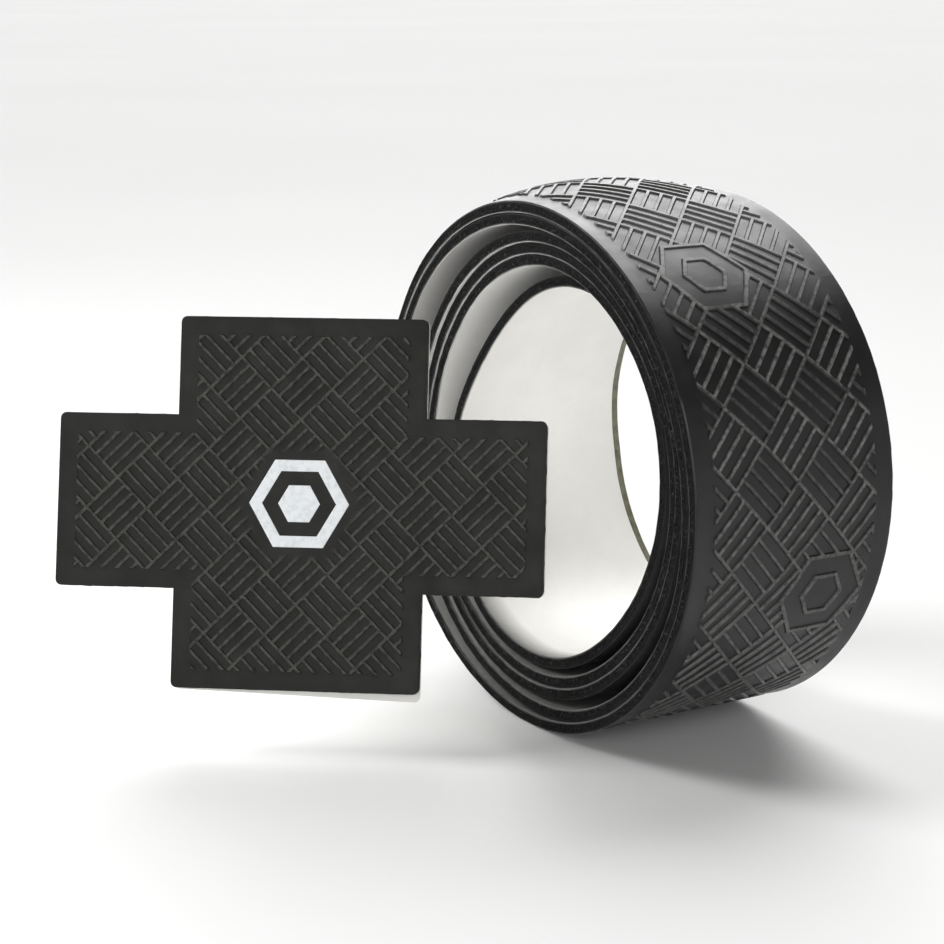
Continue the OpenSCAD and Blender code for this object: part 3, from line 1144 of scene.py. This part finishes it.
def add_hexagon(verts, faces, outer, inner=0):
    """Raised hexagon with a soft shoulder: a ring, or solid when inner is 0."""
    face_y, back_y, shoulder = -0.05, 0.03, 0.05
    middle_y = (face_y + back_y) / 2
    profile = [(outer, back_y), (outer, middle_y), (outer - shoulder, face_y)]
    if inner:
        profile += [(inner + shoulder, face_y), (inner, middle_y), (inner, back_y)]
    loops = []
    for apothem, y in profile:
        loops.append(list(range(len(verts), len(verts) + 36)))
        corners = hex_corners(apothem, turned=-30)
        for a, b in zip(corners, corners[1:] + corners[:1]):
            for i in range(6):
                verts.append((a[0] + (b[0] - a[0]) * i / 6, y, a[1] + (b[1] - a[1]) * i / 6))
    following = loops[1:] + loops[:1] if inner else loops[1:]
    for a, b in zip(loops, following):
        for k in range(36):
            faces.append((a[k], a[(k + 1) % 36], b[(k + 1) % 36], b[k]))
    if not inner:
        faces += [tuple(loops[2]), tuple(loops[0])]


def build_patch_print():
    verts, faces = [], []
    add_hexagon(verts, faces, PRINT_SIZE, PRINT_SIZE * 0.74)
    add_hexagon(verts, faces, PRINT_SIZE * 0.42)
    points = warp(np.array(verts, float))
    ob = make("patch_mark_print", patch_world(points), faces, PRINT, sharp=35)
    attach(ob, "patch_centre")
    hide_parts("patch_mark")


build_patch_skin()
backing = patch_sheet(
    loop(OUTLINE, 0.7) + fold_lines(1.5),
    [(x, z) for x in np.arange(-30, 30.1, 4) for z in np.arange(-22, 22.1, 4)
     if in_cross(x, z, 0.5) > 0])
build_patch_backing(*backing, "foam", FOAM_TOP, ADHESIVE_TOP, FOAM_MATERIAL,
                    rows=4, rough=0.06)
build_patch_backing(*backing, "adhesive", ADHESIVE_TOP, LINER_TOP, ADHESIVE_MATERIAL,
                    rows=2, rough=0.02)
build_patch_paper(*backing)
build_patch_print()


# ---------------------------------------------------------------- floor, lights, camera (m)
def build_floor(half_size=9, cells=48, gap=0.00005):
    """A square grid just under the lowest point of the CAD."""
    ticks = [-half_size + 2 * half_size * i / cells for i in range(cells + 1)]
    verts = [(x, y, CAD_LO.z - gap) for x in ticks for y in ticks]
    row = cells + 1
    corners = [i * row + j for i in range(cells) for j in range(cells)]
    mesh = bpy.data.meshes.new("studio_floor")
    mesh.from_pydata(verts, [], [(a, a + 1, a + row + 1, a + row) for a in corners])
    mesh.materials.append(floor_material())
    floor = bpy.data.objects.new("studio_floor", mesh)
    bpy.context.collection.objects.link(floor)


def build_world(strength):
    world = bpy.data.worlds.new("studio")
    bpy.context.scene.world = world
    world.use_nodes = True
    background = world.node_tree.nodes["Background"]
    background.inputs[0].default_value = (1.0, 1.0, 1.0, 1)
    background.inputs[1].default_value = strength


def add_aimed(name, data, direction, place=(0, 0, 0)):
    ob = bpy.data.objects.new(name, data)
    ob.location = place
    ob.rotation_mode = "QUATERNION"
    ob.rotation_quaternion = Vector(direction).to_track_quat("-Z", "Y")
    bpy.context.collection.objects.link(ob)
    return ob


def sun(name, direction, strength, spread):
    """spread: angular size in degrees"""
    light = bpy.data.lights.new(name, "SUN")
    light.energy = strength
    light.angle = math.radians(spread)
    add_aimed(name, light, direction)


def softbox(name, place, target, size, power):
    light = bpy.data.lights.new(name, "AREA")
    light.shape = "RECTANGLE"
    light.size, light.size_y = size
    light.energy = power
    add_aimed(name, light, Vector(target) - Vector(place), place)


def build_camera():
    """Looks from +X, -Y and a little above."""
    azimuth, elevation = math.radians(58.46), math.radians(13.197)
    back = Vector((math.sin(azimuth) * math.cos(elevation),
                   -math.cos(azimuth) * math.cos(elevation), math.sin(elevation)))
    right = Vector((math.cos(azimuth), math.sin(azimuth), 0))
    up = back.cross(right)
    distance, shift_right, shift_up = 288.626, -20.099, -1.082      # mm, from the centre
    centre = Vector((0.88, 0, -0.58))
    camera = bpy.data.cameras.new("camera")
    camera.sensor_width = 36.0
    camera.sensor_fit = "HORIZONTAL"
    camera.lens = 83.646610
    camera.clip_start, camera.clip_end = 0.01, 60
    place = (back * distance + right * shift_right + up * shift_up + centre) * MM
    bpy.context.scene.camera = add_aimed("camera", camera, -back, place)


build_floor()
build_world(strength=0.13)
sun("top_back", direction=(0.42, -0.46, -0.78), strength=2.5, spread=50)
sun("back_left", direction=(0.86, -0.48, -0.24), strength=1.5, spread=45)
sun("front_fill", direction=(-0.74, 0.58, -0.34), strength=1.1, spread=34)
sun("right_low", direction=(-0.86, -0.48, -0.10), strength=0.3, spread=50)
softbox("left_front", place=(-0.17, -0.26, 0.24), target=(-0.02, -0.02, 0.0),
        size=(0.16, 0.16), power=1.0)
build_camera()
bpy.context.scene.view_settings.view_transform = "Standard"
bpy.context.scene.view_settings.look = "None"
